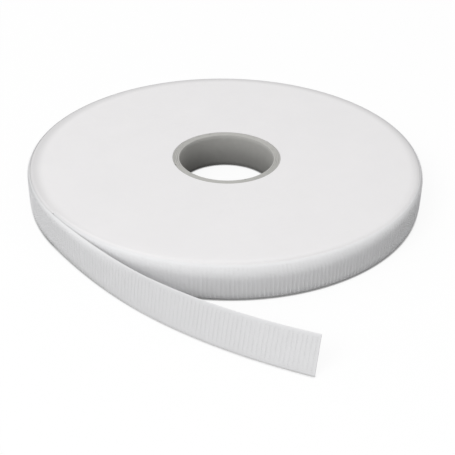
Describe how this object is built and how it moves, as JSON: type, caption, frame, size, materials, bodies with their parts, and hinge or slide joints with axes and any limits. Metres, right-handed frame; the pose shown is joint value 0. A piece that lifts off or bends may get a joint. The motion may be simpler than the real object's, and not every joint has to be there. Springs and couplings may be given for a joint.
{
  "type": "hook and loop tape roll",
  "caption": "Flat roll of white woven hook tape wound edge to edge on a grey paperboard core, its free end peeled off and standing beside the roll.",
  "frame": {"origin": "on the axis of the roll, halfway across the width of the tape, 10 mm above the surface that the roll lies on", "axes": "+Z along the roll's axis, up when it lies flat; the free end leaves at the front left (-X, -Y) and ends at the front (-Y); +X to the right seen from the front"},
  "size_m": [0.221, 0.2749, 0.0201],
  "materials": {
    "tape": "matt white woven nylon with rows of fine hooks",
    "board": "matt grey recycled paperboard",
    "adhesive": "satin adhesive tape"
  },
  "bodies": {
    "roll": {"core_ply_1": "board", "core_ply_2": "board", "core_ply_3": "board", "core_ply_4": "board", "start_tab": "adhesive", "inner_turns": "tape", "outer_turns": "tape"},
    "tail_01": {"tail_01": "tape"},
    "tail_02": {"tail_02": "tape"},
    "tail_03": {"tail_03": "tape"},
    "tail_04": {"tail_04": "tape"},
    "tail_05": {"tail_05": "tape"},
    "tail_06": {"tail_06": "tape"},
    "tail_07": {"tail_07": "tape"},
    "tail_08": {"tail_08": "tape"},
    "tail_09": {"tail_09": "tape"},
    "tail_10": {"tail_10": "tape"}
  },
  "joints": [
    {"name": "tail_bend_01", "type": "hinge", "parent": "roll", "child": "tail_01", "pos_m": [-0.08365, -0.07239, 0], "axis": [0.1531, -0.1373, 0.9786], "range_deg": [-3.3, 4.88], "stiffness_Nm_per_rad": 0.003},
    {"name": "tail_bend_02", "type": "hinge", "parent": "tail_01", "child": "tail_02", "pos_m": [-0.07374, -0.08422, 0.00003], "axis": [0.2879, -0.2565, 0.9227], "range_deg": [-3.5, 5.17], "stiffness_Nm_per_rad": 0.003},
    {"name": "tail_bend_03", "type": "hinge", "parent": "tail_02", "child": "tail_03", "pos_m": [-0.06317, -0.09548, 0.00004], "axis": [0.3404, -0.2027, 0.9182], "range_deg": [-3.5, 5.18], "stiffness_Nm_per_rad": 0.003},
    {"name": "tail_bend_04", "type": "hinge", "parent": "tail_03", "child": "tail_04", "pos_m": [-0.05199, -0.10612, 0.00005], "axis": [0.3869, -0.1439, 0.9108], "range_deg": [-3.51, 5.19], "stiffness_Nm_per_rad": 0.003},
    {"name": "tail_bend_05", "type": "hinge", "parent": "tail_04", "child": "tail_05", "pos_m": [-0.04022, -0.11613, 0.00003], "axis": [0.4271, -0.0809, 0.9006], "range_deg": [-3.53, 5.21], "stiffness_Nm_per_rad": 0.003},
    {"name": "tail_bend_06", "type": "hinge", "parent": "tail_05", "child": "tail_06", "pos_m": [-0.0279, -0.12547, 0.00001], "axis": [0.4603, -0.0144, 0.8876], "range_deg": [-3.54, 5.24], "stiffness_Nm_per_rad": 0.003},
    {"name": "tail_bend_07", "type": "hinge", "parent": "tail_06", "child": "tail_07", "pos_m": [-0.01508, -0.1341, -0.00002], "axis": [0.4865, 0.0546, 0.872], "range_deg": [-3.56, 5.27], "stiffness_Nm_per_rad": 0.003},
    {"name": "tail_bend_08", "type": "hinge", "parent": "tail_07", "child": "tail_08", "pos_m": [-0.00179, -0.142, -0.00007], "axis": [0.5052, 0.1254, 0.8539], "range_deg": [-3.59, 5.31], "stiffness_Nm_per_rad": 0.003},
    {"name": "tail_bend_09", "type": "hinge", "parent": "tail_08", "child": "tail_09", "pos_m": [0.01193, -0.14915, -0.00013], "axis": [0.5164, 0.1972, 0.8333], "range_deg": [-3.62, 5.35], "stiffness_Nm_per_rad": 0.003},
    {"name": "tail_bend_10", "type": "hinge", "parent": "tail_09", "child": "tail_10", "pos_m": [0.02603, -0.15551, -0.0002], "axis": [0.5201, 0.2691, 0.8106], "range_deg": [-3.65, 5.4], "stiffness_Nm_per_rad": 0.003}
  ],
  "couplings": [
    {"joint": "tail_bend_02", "follows": "tail_bend_01", "ratio": 1.0602},
    {"joint": "tail_bend_03", "follows": "tail_bend_01", "ratio": 1.0617},
    {"joint": "tail_bend_04", "follows": "tail_bend_01", "ratio": 1.0645},
    {"joint": "tail_bend_05", "follows": "tail_bend_01", "ratio": 1.0685},
    {"joint": "tail_bend_06", "follows": "tail_bend_01", "ratio": 1.0737},
    {"joint": "tail_bend_07", "follows": "tail_bend_01", "ratio": 1.0801},
    {"joint": "tail_bend_08", "follows": "tail_bend_01", "ratio": 1.0876},
    {"joint": "tail_bend_09", "follows": "tail_bend_01", "ratio": 1.0963},
    {"joint": "tail_bend_10", "follows": "tail_bend_01", "ratio": 1.106}
  ]
}
